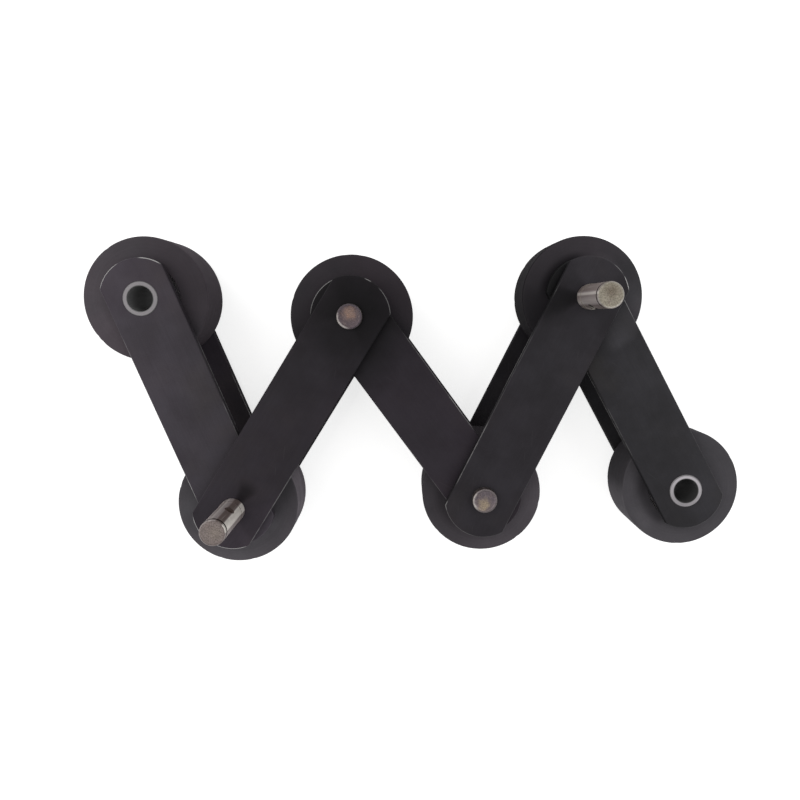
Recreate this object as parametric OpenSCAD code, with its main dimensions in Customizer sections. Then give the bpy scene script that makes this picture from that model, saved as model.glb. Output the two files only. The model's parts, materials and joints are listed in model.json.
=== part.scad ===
// Escalator step chain: a length of five links lying on its side, folded in a zigzag.
// Inner links hold the bushes and the rollers, outer links hold the pins.
// The pins stand along +Z. The chain rests on the rear ends of its four pins at z = 0.
// Links and joints are numbered from the left: link n runs from joint n to joint n + 1.

/* [Chain] */
// Pitch between neighbouring joints
pitch = 133.33; // [125:0.01:150]
// Direction of link 1, in degrees from +X
link_1_angle = -67.84; // [-70:0.01:-45]
// Direction of link 2
link_2_angle = 58.34; // [45:0.01:70]
// Direction of link 3
link_3_angle = -53.93; // [-70:0.01:-45]
// Direction of link 4
link_4_angle = 63.46; // [45:0.01:70]
// Direction of link 5
link_5_angle = -61.21; // [-70:0.01:-45]
// Clear width between the two plates of an inner link
inner_width = 34; // [32:0.1:44]
// Side play between a bush end and the outer plate that runs over it
link_side_gap = 0.3; // [0.2:0.05:1]

/* [Link plates] */
// Width of a link plate across its parallel sides
plate_width = 38.4; // [32:0.1:44]
// Radius of a plate's rounded end about its bore, larger than half the width
plate_end_r = 23.5; // [22.5:0.1:26]
// Thickness of an inner plate
inner_plate_t = 5; // [3:0.1:8]
// Thickness of an outer plate
outer_plate_t = 5; // [3:0.1:8]
// Broken edge round a plate
plate_bevel = 0.45; // [0.1:0.05:1]

/* [Bushes and spacers] */
// Wall of a bush: its outside is also the bore of the bearing that sits on it
bush_wall = 2.605; // [2:0.005:3.5]
// Radial running clearance of a pin in its bush
pin_running_gap = 0.08; // [0.02:0.01:0.1]
// How far a bush stands proud of its inner plate
bush_proud = 0.5; // [0.2:0.1:2]
// Broken edge round the end of a bush
bush_bevel = 0.3; // [0.1:0.05:0.6]
// Wall of the spacer sleeves that centre the bearing on its bush
spacer_wall = 2.5; // [1.5:0.1:3.5]

/* [Pins] */
// Diameter of a pin
pin_d = 14.63; // [12:0.01:16]
// How far a pin's riveted end stands out of its outer plate
pin_proud = 4.3; // [1:0.1:8]
// Free length of a step pin, from the outer plate to its end
step_pin_reach = 37.4; // [28:0.1:60]
// Diameter of the journal at a step pin's free end, which carries the step
step_journal_d = 14.2; // [12:0.05:15.6]
// Height of the full pin above the outer plate, up to the foot of the journal
journal_foot_h = 6.2; // [0.3:0.1:8]
// Broken edge at the end of a pin
pin_bevel = 0.45; // [0.2:0.05:1]
// Width of the raised rim that riveting leaves round a pin's end
rivet_rim_w = 0.9; // [0.5:0.1:2]
// Width of the slope inside that rim
rivet_slope_w = 0.8; // [0.2:0.1:2]
// Depth of the dish inside the rim
rivet_dish_depth = 0.5; // [0.1:0.05:1]
// Width of the collar between a step pin's end and its ring groove
groove_collar_w = 1.8; // [1:0.1:4]
// Width of the ring groove
groove_w = 1.1; // [0.6:0.1:2]
// Depth of the ring groove
groove_depth = 0.5; // [0.2:0.05:1]
// Diameter of the hole across a step pin
cross_hole_d = 5.5; // [3:0.1:7]
// Height of the cross hole's axis above the outer plate
cross_hole_height = 17.3; // [8:0.1:22]

/* [Rollers] */
// Thickness of the tyre
tyre_t = 6.5; // [4:0.1:10]
// Rounding of the tyre's two outer edges
tyre_edge_r = 1.2; // [0.5:0.1:3]
// Gap between a roller's face and the inner plate beside it
roller_side_gap = 2.7; // [1.5:0.1:4]
// Wall of the hub round the bearing
hub_wall = 6.5; // [4:0.1:10]
// How far the hub's two flanks reach over the sides of the bearing
hub_flank_reach = 3.8; // [1:0.1:4]
// Broken edge round the mouth in each of the hub's faces
hub_mouth_bevel = 0.5; // [0.2:0.1:1.5]

/* [Ball bearings] */
// Height of the bearing's section, from the bush to the hub
bearing_section = 13.5; // [12:0.1:15]
// Width of the bearing
bearing_w = 14; // [12.5:0.1:16]
// Thickness of the inner ring
inner_ring_t = 4.4; // [3.8:0.1:4.8]
// Thickness of the outer ring at its shoulders
outer_ring_t = 4.15; // [3.5:0.05:4.6]
// Diameter of the balls
ball_d = 7.94; // [7:0.01:8.5]
// Number of balls
ball_count = 8; // [6:1:9]
// Clearance between a ball and its raceways
race_gap = 0.08; // [0.02:0.01:0.1]
// Radial thickness of the ball cage
cage_t = 2.9; // [2:0.1:3]
// Gap between the ball cage and a seal
cage_side_gap = 1.1; // [0.5:0.1:1.5]
// Clearance between a ball and its pocket in the cage
pocket_gap = 0.15; // [0.1:0.01:0.2]
// Depth of the seal's seat in the outer ring
seal_seat_depth = 0.95; // [0.5:0.05:1.5]
// Thickness of a seal
seal_t = 0.8; // [0.4:0.1:0.9]
// Depth of a seal's face below the side of the bearing
seal_depth = 0.2; // [0.1:0.05:0.4]
// Clearance between a seal's lip and the inner ring
seal_lip_gap = 0.3; // [0.1:0.05:0.5]

/* [Hidden] */
$fn = 96;
LINKS = 5;
JOINTS = LINKS + 1;
INNER_LINKS = [1, 3, 5];
OUTER_LINKS = [2, 4];
STEP_PINS = [2, 5];
LINK_PINS = [3, 4];
ROLLER_PIECES = ["tyre", "hub", "bearing_outer_ring", "seals", "balls_and_cage", "bearing_inner_ring"];

// Distances from the chain's mid-plane, along a pin
inner_plate_z = inner_width / 2;
bush_end_z = inner_plate_z + inner_plate_t + bush_proud;
outer_plate_z = bush_end_z + link_side_gap;
outer_face_z = outer_plate_z + outer_plate_t;
pin_end_z = outer_face_z + pin_proud;
step_pin_end_z = outer_face_z + step_pin_reach;

// Diameters outwards from the pin: bush, spacer, bearing, hub and roller
bush_bore_d = pin_d + 2 * pin_running_gap;
bush_d = bush_bore_d + 2 * bush_wall;
spacer_d = bush_d + 2 * spacer_wall;
bearing_d = bush_d + 2 * bearing_section;
hub_mouth_d = bearing_d - 2 * hub_flank_reach;
hub_d = bearing_d + 2 * hub_wall;
roller_d = hub_d + 2 * tyre_t;
roller_w = inner_width - 2 * roller_side_gap;

// Inside the bearing
inner_ring_d = bush_d + 2 * inner_ring_t;
outer_ring_shoulder_d = bearing_d - 2 * outer_ring_t;
ball_circle_d = (bush_d + bearing_d) / 2;
race_r = ball_d / 2 + race_gap;
seal_seat_d = outer_ring_shoulder_d + 2 * seal_seat_depth;
cage_w = bearing_w - 2 * (seal_depth + seal_t + cage_side_gap);

// A margin that lets cutters pass through
CUT = 1;

// Joints in the plane of the links, then about the middle of the whole chain
link_angles = [link_1_angle, link_2_angle, link_3_angle, link_4_angle, link_5_angle];
function step(n) = pitch * [cos(link_angles[n - 1]), sin(link_angles[n - 1])];
function joint(k) = k == 1 ? [0, 0] : joint(k - 1) + step(k - 1);
joint_x = [for (k = [1:JOINTS]) joint(k).x];
joint_y = [for (k = [1:JOINTS]) joint(k).y];
middle_x = (min(joint_x) + max(joint_x)) / 2;
middle_y = (min(joint_y) + max(joint_y)) / 2;

// Moves its children to a joint, on the chain's mid-plane
module at_joint(k) {
    translate([joint_x[k - 1] - middle_x, joint_y[k - 1] - middle_y, pin_end_z]) children();
}

// Moves its children to the first joint of a link, with +X along the link
module along_link(n) {
    at_joint(n) rotate([0, 0, link_angles[n - 1]]) children();
}

// A rectangle from (x0, y0) to (x1, y1) with its four corners broken by a bevel
module bevelled_rectangle(x0, x1, y0, y1, bevel) {
    polygon([
        [x0 + bevel, y0], [x1 - bevel, y0], [x1, y0 + bevel], [x1, y1 - bevel],
        [x1 - bevel, y1], [x0 + bevel, y1], [x0, y1 - bevel], [x0, y0 + bevel]
    ]);
}

// A plate of thickness t along +X from its first bore, with all its outer edges broken
module link_plate(t, bore_d) {
    half_w = plate_width / 2;
    difference() {
        intersection() {
            translate([-plate_end_r, 0, 0]) rotate([90, 0, 90])
                linear_extrude(pitch + 2 * plate_end_r)
                    bevelled_rectangle(-half_w, half_w, 0, t, plate_bevel);
            union() {
                translate([0, -half_w, 0]) cube([pitch, plate_width, t]);
                for (x = [0, pitch]) translate([x, 0, 0]) plate_end(t);
            }
        }
        for (x = [0, pitch]) translate([x, 0, -CUT]) cylinder(d = bore_d, h = t + 2 * CUT);
    }
}

// The round end of a plate: a disc about the bore with both its edges broken
module plate_end(t) {
    rotate_extrude() polygon([
        [0, 0], [plate_end_r - plate_bevel, 0], [plate_end_r, plate_bevel],
        [plate_end_r, t - plate_bevel], [plate_end_r - plate_bevel, t], [0, t]
    ]);
}

// side is 1 for the front, where the step pins stand out, and -1 for the rear
module inner_plate(n, side) {
    color([0.19, 0.19, 0.2]) along_link(n)
        translate([0, 0, side > 0 ? inner_plate_z : -inner_plate_z - inner_plate_t])
            link_plate(inner_plate_t, bush_d);
}

module outer_plate(n, side) {
    color([0.17, 0.17, 0.18]) along_link(n)
        translate([0, 0, side > 0 ? outer_plate_z : -outer_plate_z - outer_plate_t])
            link_plate(outer_plate_t, pin_d);
}

// Pressed into both inner plates, with the pin turning inside it
module bush(k) {
    color([0.62, 0.61, 0.62]) at_joint(k) rotate_extrude() polygon([
        [bush_bore_d / 2, -bush_end_z], [bush_d / 2 - bush_bevel, -bush_end_z],
        [bush_d / 2, bush_bevel - bush_end_z], [bush_d / 2, bush_end_z - bush_bevel],
        [bush_d / 2 - bush_bevel, bush_end_z], [bush_bore_d / 2, bush_end_z]
    ]);
}

// Four sleeves on the two bushes of an inner link, from each plate to the bearing's inner ring
module spacers(n) {
    length = inner_plate_z - bearing_w / 2;
    color([0.5, 0.5, 0.52]) for (k = [n, n + 1], z = [bearing_w / 2, -inner_plate_z])
        at_joint(k) translate([0, 0, z]) difference() {
            cylinder(d = spacer_d, h = length);
            translate([0, 0, -CUT]) cylinder(d = bush_d, h = length + 2 * CUT);
        }
}

// Half the profile of a riveted pin end that points along -Z, from the axis out to the side:
// a flat dish, the slope up to the rim, the rim and the broken edge
function riveted_end(end_z) = let (
    rim_r = pin_d / 2 - pin_bevel - rivet_rim_w
) [
    [0, rivet_dish_depth - end_z], [rim_r - rivet_slope_w, rivet_dish_depth - end_z],
    [rim_r, -end_z], [pin_d / 2 - pin_bevel, -end_z], [pin_d / 2, pin_bevel - end_z]
];

// A pin riveted into both outer plates of a link
module link_pin(k) {
    rear_end = riveted_end(pin_end_z);
    front_end = [for (i = [len(rear_end) - 1:-1:0]) [rear_end[i].x, -rear_end[i].y]];
    color([0.6, 0.58, 0.56]) at_joint(k) rotate_extrude() polygon(concat(rear_end, front_end));
}

// A pin that also carries the step: its free end is a journal with a ring groove and a hole
// across it, which points along the outer link that holds the pin
module step_pin(k) {
    r = pin_d / 2;
    journal_r = step_journal_d / 2;
    groove_r = journal_r - groove_depth;
    foot_z = outer_face_z + journal_foot_h;
    groove_top_z = step_pin_end_z - groove_collar_w;
    groove_z = groove_top_z - groove_w;
    outer_link = k % 2 == 0 ? k : k - 1;
    color([0.66, 0.64, 0.62]) at_joint(k) difference() {
        rotate_extrude() polygon(concat(riveted_end(pin_end_z), [
            [r, foot_z], [journal_r, foot_z], [journal_r, groove_z], [groove_r, groove_z],
            [groove_r, groove_top_z], [journal_r, groove_top_z],
            [journal_r, step_pin_end_z - pin_bevel],
            [journal_r - pin_bevel, step_pin_end_z], [0, step_pin_end_z]
        ]));
        translate([0, 0, outer_face_z + cross_hole_height])
            rotate([0, 90, link_angles[outer_link - 1]])
                cylinder(d = cross_hole_d, h = pin_d + 2 * CUT, center = true);
    }
}

// The tyre, cast round the hub, with both outer edges rounded
module roller_tyre(k) {
    outer_r = roller_d / 2;
    half_w = roller_w / 2;
    color([0.2, 0.2, 0.21]) at_joint(k) rotate_extrude() difference() {
        union() {
            translate([0, -half_w]) square([outer_r - tyre_edge_r, roller_w]);
            translate([0, tyre_edge_r - half_w]) square([outer_r, roller_w - 2 * tyre_edge_r]);
            for (y = [tyre_edge_r - half_w, half_w - tyre_edge_r])
                translate([outer_r - tyre_edge_r, y]) circle(r = tyre_edge_r);
        }
        translate([-CUT, -half_w - CUT]) square([hub_d / 2 + CUT, roller_w + 2 * CUT]);
    }
}

// The hub, moulded round the bearing: its two flanks hold the bearing's outer ring between them,
// and each has an open mouth in its face
module roller_hub(k) {
    half_w = roller_w / 2;
    seat_z = bearing_w / 2;
    mouth_r = hub_mouth_d / 2;
    edge_r = mouth_r + hub_mouth_bevel;
    edge_z = half_w - hub_mouth_bevel;
    color([0.18, 0.18, 0.19]) at_joint(k) rotate_extrude() polygon([
        [hub_d / 2, -half_w], [hub_d / 2, half_w], [edge_r, half_w], [mouth_r, edge_z],
        [mouth_r, seat_z], [bearing_d / 2, seat_z], [bearing_d / 2, -seat_z],
        [mouth_r, -seat_z], [mouth_r, -edge_z], [edge_r, -half_w]
    ]);
}

// A ring of the bearing from radius r0 to r1, with the raceway that the balls run in
module raceway_profile(r0, r1) {
    difference() {
        translate([r0, -bearing_w / 2]) square([r1 - r0, bearing_w]);
        translate([ball_circle_d / 2, 0]) circle(r = race_r);
    }
}

// The outer ring, with a seat for the seal in each side
module bearing_outer_ring(k) {
    seat_z = bearing_w / 2 - seal_depth - seal_t;
    color([0.7, 0.7, 0.72]) at_joint(k) rotate_extrude() difference() {
        raceway_profile(outer_ring_shoulder_d / 2, bearing_d / 2);
        for (y = [seat_z, -bearing_w / 2 - CUT])
            translate([0, y]) square([seal_seat_d / 2, bearing_w / 2 - seat_z + CUT]);
    }
}

module bearing_inner_ring(k) {
    color([0.7, 0.7, 0.72]) at_joint(k) rotate_extrude()
        raceway_profile(bush_d / 2, inner_ring_d / 2);
}

// The balls, and the cage that spaces them round the bearing in its drilled pockets
module balls_and_cage(k) {
    mean_r = ball_circle_d / 2;
    color([0.75, 0.68, 0.5]) at_joint(k) difference() {
        cylinder(r = mean_r + cage_t / 2, h = cage_w, center = true);
        cylinder(r = mean_r - cage_t / 2, h = cage_w + 2 * CUT, center = true);
        at_each_ball() rotate([0, 90, 0])
            cylinder(d = ball_d + 2 * pocket_gap, h = cage_t + 2 * CUT, center = true);
    }
    color([0.8, 0.8, 0.82]) at_joint(k) at_each_ball() sphere(d = ball_d);
}

module at_each_ball() {
    for (i = [0:ball_count - 1])
        rotate([0, 0, i * 360 / ball_count]) translate([ball_circle_d / 2, 0, 0]) children();
}

// Two thin rings that close the bearing's sides
module seals(k) {
    low_z = bearing_w / 2 - seal_depth - seal_t;
    color([0.1, 0.1, 0.1]) at_joint(k) for (z = [low_z, -low_z - seal_t])
        translate([0, 0, z]) difference() {
            cylinder(d = seal_seat_d, h = seal_t);
            translate([0, 0, -CUT])
                cylinder(d = inner_ring_d + 2 * seal_lip_gap, h = seal_t + 2 * CUT);
        }
}

for (n = INNER_LINKS) {
    inner_plate(n, 1);
    inner_plate(n, -1);
    spacers(n);
}
for (n = OUTER_LINKS) {
    outer_plate(n, 1);
    outer_plate(n, -1);
}
for (k = STEP_PINS) step_pin(k);
for (k = LINK_PINS) link_pin(k);
for (k = [1:JOINTS]) {
    bush(k);
    roller_tyre(k);
    roller_hub(k);
    bearing_outer_ring(k);
    seals(k);
    balls_and_cage(k);
    bearing_inner_ring(k);
}
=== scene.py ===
# %% [markdown]
# # Escalator step chain
# Five links of a step chain lie on a pale floor, seen from straight above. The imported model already
# has every plate, pin, bush, roller and bearing in its right place, so this lesson keeps most of
# those solids and gives them their looks: blackened plates rubbed bright at the edges, scuffed
# rollers, turned pins. Only the tyres and the riveted pins are made again here, because a cast tyre
# and a hammered rivet are never quite true. Loading the model first fixes the frame that everything
# is placed in. All lengths are in metres.

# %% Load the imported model
import json
import math

import bpy
import numpy as np
from mathutils import Matrix, Vector


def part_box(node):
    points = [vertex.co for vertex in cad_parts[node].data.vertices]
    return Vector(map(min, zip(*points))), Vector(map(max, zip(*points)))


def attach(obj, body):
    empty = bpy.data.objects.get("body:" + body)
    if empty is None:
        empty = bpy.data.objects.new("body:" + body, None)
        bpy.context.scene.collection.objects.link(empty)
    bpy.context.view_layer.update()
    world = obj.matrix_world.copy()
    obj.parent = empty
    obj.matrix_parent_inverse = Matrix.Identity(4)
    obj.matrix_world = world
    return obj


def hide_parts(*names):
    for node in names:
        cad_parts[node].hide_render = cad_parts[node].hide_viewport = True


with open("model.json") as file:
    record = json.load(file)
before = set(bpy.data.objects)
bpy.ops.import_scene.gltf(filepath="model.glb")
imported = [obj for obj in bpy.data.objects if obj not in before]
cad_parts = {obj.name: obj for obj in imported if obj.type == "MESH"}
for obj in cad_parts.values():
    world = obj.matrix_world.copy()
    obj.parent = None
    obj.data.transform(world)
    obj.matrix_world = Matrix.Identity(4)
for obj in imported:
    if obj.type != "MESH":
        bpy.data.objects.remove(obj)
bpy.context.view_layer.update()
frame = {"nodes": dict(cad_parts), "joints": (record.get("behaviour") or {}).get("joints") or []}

MM = 0.001
scene = bpy.context.scene

# %% Where the joints are, and which way the links run
JOINT = {  # a joint's number is the last character of its name
    int(joint["name"][-1]): Vector(joint["pos_m"])
    for joint in frame["joints"]
    if joint["name"].startswith("roller_spin")
}
LINK_ANGLE = {n: math.atan2(*(JOINT[n + 1] - JOINT[n]).yx) for n in range(1, 6)}
MIDDLE_Z = JOINT[1].z
print("link angles:", {n: round(math.degrees(a), 1) for n, a in LINK_ANGLE.items()})

# %% [markdown]
# ## Camera
# The photograph was taken from close above, so the long pins lean outwards and the far side of each
# roller shows its tread. Only a camera at the right height gives that. Its place, tilt and lens
# were worked out from the outline of the chain in the photograph. The picture's optical centre is a
# little off its middle, which is what the small shift is for.

# %% Make the camera
CAMERA_AT = Vector((-0.00894, 0.05291, 0.41150))
CAMERA_TURN = Vector((-0.098843, -0.030347, 0.0))  # axis times angle, in radians

camera_lens = bpy.data.cameras.new("camera")
camera_lens.sensor_width = 36
camera_lens.lens = 27.439
camera_lens.shift_x = -0.0304
camera_lens.shift_y = -0.0329
camera_lens.clip_start = 0.01
camera = bpy.data.objects.new("camera", camera_lens)
turned = Matrix.Rotation(CAMERA_TURN.length, 4, CAMERA_TURN)
camera.matrix_world = Matrix.Translation(CAMERA_AT) @ turned
scene.collection.objects.link(camera)
scene.camera = camera
print("camera height above the floor:", round(CAMERA_AT.z, 3))

# %% [markdown]
# ## Shader tools
# A finish is a small program of nodes. Written by hand each node takes several lines, so two short
# classes help: Wire stands for the output of a node and lets Python's own operators add Math nodes,
# and Finish makes a material and any other node in one call. Colours are mixed or scaled, because a
# Math node turns them grey.

# %% A wire that does arithmetic
class Wire:
    """The output of a node in a finish. + - * / and ** on it add Math nodes."""

    def __init__(self, finish, socket):
        self.finish, self.socket = finish, socket

    def _math(self, operation, first, second):
        return self.finish.node("ShaderNodeMath", {"operation": operation}, {0: first, 1: second})

    def __add__(self, other):
        return self._math("ADD", self, other)

    def __sub__(self, other):
        return self._math("SUBTRACT", self, other)

    def __rsub__(self, other):
        return self._math("SUBTRACT", other, self)

    def __mul__(self, other):
        return self._math("MULTIPLY", self, other)

    def __truediv__(self, other):
        return self._math("DIVIDE", self, other)

    def __rtruediv__(self, other):
        return self._math("DIVIDE", other, self)

    def __pow__(self, other):
        return self._math("POWER", self, other)

    __radd__, __rmul__ = __add__, __mul__

    def size(self):
        """The value without its sign."""
        return self._math("ABSOLUTE", self, 0.0)

    def either(self, other):
        """The larger of two values, which joins two masks."""
        return self._math("MAXIMUM", self, other)

    def rise(self, low, high):
        """A smooth step: 0 below low, 1 above high."""
        settings = {"interpolation_type": "SMOOTHSTEP"}
        return self.finish.node(
            "ShaderNodeMapRange", settings, {"Value": self, "From Min": low, "From Max": high}
        )

    def fall(self, low, high):
        """A smooth step down: 1 below low, 0 above high."""
        return 1 - self.rise(low, high)


# %% A finish that makes its own nodes
MIX_FIRST, MIX_SECOND, MIX_COLOUR = 6, 7, 2  # the colour sockets of a Mix node


class Finish:
    """A material with a Principled shader. The settings go straight on the shader's own sockets."""

    def __init__(self, name, settings):
        self.material = bpy.data.materials.new(name)
        self.material.use_nodes = True
        self.tree = self.material.node_tree
        self.shader = self.tree.nodes["Principled BSDF"]
        for socket, value in settings.items():
            self.shader.inputs[socket].default_value = value
        self.here = self.node("ShaderNodeTexCoord", {}, {}, "Object")
        self.facing = self.node("ShaderNodeTexCoord", {}, {}, "Normal")

    def join(self, value, socket):
        """Links a wire to a socket, or writes a plain value on it."""
        if isinstance(value, Wire):
            self.tree.links.new(value.socket, socket)
        else:
            socket.default_value = value

    def node(self, kind, settings, inputs, output=0):
        """Adds any node: its settings first, then the values or wires of its sockets."""
        made = self.tree.nodes.new(kind)
        for key, value in settings.items():
            setattr(made, key, value)
        for key, value in inputs.items():
            self.join(value, made.inputs[key])
        return Wire(self, made.outputs[output])

    def parts(self, vector):
        """The x, y and z of a vector, as three wires."""
        outputs = self.node("ShaderNodeSeparateXYZ", {}, {0: vector}).socket.node.outputs
        return [Wire(self, outputs[i]) for i in range(3)]

    def moved(self, centre, angle=0.0):
        """Object coordinates seen from a centre, with x turned to an angle."""
        return self.node(
            "ShaderNodeMapping",
            {"vector_type": "TEXTURE"},
            {"Vector": self.here, "Location": centre, "Rotation": (0.0, 0.0, angle)},
        )

    def stretched(self, vector, factors):
        """A vector with each part multiplied, which draws a pattern out along the small factors."""
        return self.node("ShaderNodeVectorMath", {"operation": "MULTIPLY"}, {0: vector, 1: factors})

    def noise(self, vector, scale, detail=3.0, roughness=0.5):
        """Cloudy noise from 0 to 1, about 1 / scale metres from blotch to blotch."""
        inputs = {"Vector": vector, "Scale": scale, "Detail": detail, "Roughness": roughness}
        return self.node("ShaderNodeTexNoise", {}, inputs, "Fac")

    def bands(self, value, scale):
        """Noise along a single value, such as rings along a radius."""
        settings = {"noise_dimensions": "1D"}
        inputs = {"W": value, "Scale": scale, "Detail": 2.0}
        return self.node("ShaderNodeTexNoise", settings, inputs, "Fac")

    def blend(self, share, first, second):
        """A colour that goes from the first to the second as share goes from 0 to 1."""
        inputs = {"Factor": share, MIX_FIRST: first, MIX_SECOND: second}
        return self.node("ShaderNodeMix", {"data_type": "RGBA"}, inputs, MIX_COLOUR)

    def dimmed(self, shade, factor):
        """A colour made darker or lighter by a value."""
        inputs = {0: shade if isinstance(shade, Wire) else shade[:3], "Scale": factor}
        return self.node("ShaderNodeVectorMath", {"operation": "SCALE"}, inputs)

    def relief(self, height, depth, strength=1.0):
        """Feeds a height from 0 to 1 to the shader's normal, as relief of a depth in metres."""
        inputs = {"Height": height, "Distance": depth, "Strength": strength}
        self.join(self.node("ShaderNodeBump", {}, inputs), self.shader.inputs["Normal"])

    def wear(self, shade, roughness, metallic=None):
        """Feeds the shader's main sockets."""
        self.join(shade, self.shader.inputs["Base Color"])
        self.join(roughness, self.shader.inputs["Roughness"])
        if metallic is not None:
            self.join(metallic, self.shader.inputs["Metallic"])


# %% Small helpers for finishes
def colour(red, green, blue):
    """A colour from the three numbers of a screen, 0 to 255, as the linear values that shaders
    take."""
    screen = np.array([red, green, blue]) / 255
    linear = np.where(screen <= 0.04045, screen / 12.92, ((screen + 0.055) / 1.055) ** 2.4)
    return (*(float(v) for v in linear), 1.0)


def paint(piece, finish):
    """Gives an object one finish, in place of what it had."""
    piece.data.materials.clear()
    piece.data.materials.append(finish.material)


def from_axis(finish, joint):
    """The distance from a joint's axis."""
    x, y, _ = finish.parts(finish.moved(JOINT[joint]))
    return (x * x + y * y) ** 0.5


def sector(finish, joint, degrees, half_degrees, soft=4.0):
    """1 inside a sector about a joint, 0 outside, with soft edges. The cosine of the angle off its
    middle line says how near a point is. All three angles are in degrees."""
    x, y, _ = finish.parts(finish.moved(JOINT[joint], math.radians(degrees)))
    cosine = x / ((x * x + y * y) ** 0.5)
    outer = math.cos(math.radians(half_degrees + soft))
    inner = math.cos(math.radians(max(half_degrees - soft, 0.0)))
    return cosine.rise(outer, inner)


print("a screen's mid grey, linear:", round(colour(128, 128, 128)[0], 3))


# %% [markdown]
# ## Floor, backdrop and light
# The photograph is cut out on white. A floor that is only lit never gets quite white without too
# much light on the object, so what the camera and mirrors see of it gets a glow added, while its
# soft shadow stays. The world does the same beyond the floor. Wide lamps give the plain, soft light
# of the photograph.

# %% A white floor that keeps its shadow
def seen_directly(finish):
    """1 for rays from the camera and for those that metal and glass send on, 0 for the rest."""
    path = finish.tree.nodes.new("ShaderNodeLightPath").outputs
    names = ("Is Camera Ray", "Is Glossy Ray", "Is Transmission Ray")
    camera_ray, glossy_ray, transmission_ray = (Wire(finish, path[name]) for name in names)
    return camera_ray.either(glossy_ray).either(transmission_ray)


FLOOR_HALF = 6.0
FLOOR_DROP = 0.2 * MM  # the floor lies a hair below the rollers, so that the two never flicker
floor_mesh = bpy.data.meshes.new("floor")
signs = ((-1, -1), (1, -1), (1, 1), (-1, 1))
corners = [(x * FLOOR_HALF, y * FLOOR_HALF, -FLOOR_DROP) for x, y in signs]
floor_mesh.from_pydata(corners, [], [(0, 1, 2, 3)])
floor = bpy.data.objects.new("floor", floor_mesh)
scene.collection.objects.link(floor)

FLOOR_GLOW = 0.7
floor_finish = Finish("floor", {"Roughness": 0.9, "Specular IOR Level": 0.0})
floor_grain = floor_finish.noise(floor_finish.here, 35.0, 4.0)
floor_finish.join(
    floor_finish.blend(floor_grain, colour(202, 202, 201), colour(208, 208, 208)),
    floor_finish.shader.inputs["Base Color"],
)
glow_strength = seen_directly(floor_finish) * FLOOR_GLOW
glow = floor_finish.node("ShaderNodeEmission", {}, {"Strength": glow_strength})
surface = floor_finish.tree.nodes["Material Output"].inputs["Surface"]
lit = Wire(floor_finish, floor_finish.shader.outputs["BSDF"])
floor_finish.join(floor_finish.node("ShaderNodeAddShader", {}, {0: lit, 1: glow}), surface)
paint(floor, floor_finish)
print("floor glow where it is seen:", FLOOR_GLOW)

# %% World and lamps
WORLD_LIGHT = 0.62  # what the world gives to lit surfaces; seen directly it is white
world = bpy.data.worlds.new("studio")
scene.world = world
world.use_nodes = True
background = world.node_tree.nodes["Background"]
background.inputs["Color"].default_value = (1.0, 1.0, 1.0, 1.0)


class Sky(Finish):
    """The world's node tree, so that the same helpers work on it."""

    def __init__(self, tree):
        self.tree = tree


sky = Sky(world.node_tree)
sky.join(seen_directly(sky) * (1 - WORLD_LIGHT) + WORLD_LIGHT, background.inputs["Strength"])


def soft_lamp(name, at, width, watts, tint):
    """A square lamp that faces the middle of the chain."""
    light = bpy.data.lights.new(name, "AREA")
    light.size, light.energy, light.color = width, watts, tint
    lamp = bpy.data.objects.new(name, light)
    lamp.location = at
    to_chain = Vector((0.0, 0.0, MIDDLE_Z)) - Vector(at)
    lamp.rotation_euler = to_chain.to_track_quat("-Z", "Y").to_euler()
    scene.collection.objects.link(lamp)


soft_lamp("lamp_left", (-0.75, 0.35, 0.95), width=1.3, watts=7.5, tint=(1.0, 0.985, 0.97))
soft_lamp("lamp_right", (0.85, 0.25, 0.8), width=1.1, watts=4.0, tint=(0.97, 0.985, 1.0))

# %% [markdown]
# ## Blackened plates
# The link plates are blackened, oiled steel strip. Up close the black is cloudy and a little brown,
# drawn lines run along the strip, oil darkens it round the pins, and the broken edges are rubbed
# through to bright steel where they were handled. The broken edge is a real slope on each plate, so
# the slope of the surface finds it. Which arcs and sides are rubbed follows the photograph. Light and
# shade are painted in too: a sheen that slants across each plate, shade on the walls and on the rear
# plates, a highlight along the foot of some walls, and patches of shade and light near the joints,
# with dark reflections of the pins beside their bases.

# %% Colours of a plate, and where oil, stain, painted shade and painted light change it
BLACK = colour(34, 33, 35)
CLOUD = colour(43, 42, 45)
BROWN = colour(48, 45, 43)
LILAC = colour(47, 37, 47)
BARE_AND_LIT_STEEL = colour(158, 156, 156)
DULL = {"Specular IOR Level": 0.08}  # blackened steel and rubber mirror very little
PITCH = (JOINT[2] - JOINT[1]).length
HALF_STRIP = 19.2 * MM
DRAWN_LINES = (24.0, 800.0, 800.0)  # a noise drawn out along x, the link's direction
SCRATCHES = (60.0, 1300.0, 60.0)  # the same, for a vector that is tilted first
SCRATCH_TILT = 0.45  # radians off the link's direction
OIL_WANDERS = 16 * MM  # how far the cloud moves the oil's edge
print("from joint to joint, mm:", round(PITCH / MM, 2))


def oil_stains_shade_and_light(finish, cloud, oil, stains_shade_and_light):
    """How far oil, stain and painted shade darken a plate, from 0 to 1, and below 0 where it is
    lightened.
    oil lists joint, strength and reach in mm; its edge wanders with the cloud, and below 0 it is
    dust.
    The other list gives joint, direction, half width, reach in mm and strength, below 0 for painted
    light."""
    wet = 0.0
    for joint, strength, reach in oil:
        ragged = from_axis(finish, joint) + (cloud - 0.5) * OIL_WANDERS
        wet = ragged.fall(reach * 0.2 * MM, reach * MM) * strength + wet
    for joint, degrees, half_degrees, reach, strength in stains_shade_and_light:
        near = from_axis(finish, joint).fall((reach - 8) * MM, reach * MM)
        wet = sector(finish, joint, degrees, half_degrees, 12.0) * near * strength + wet
    return wet
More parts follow.
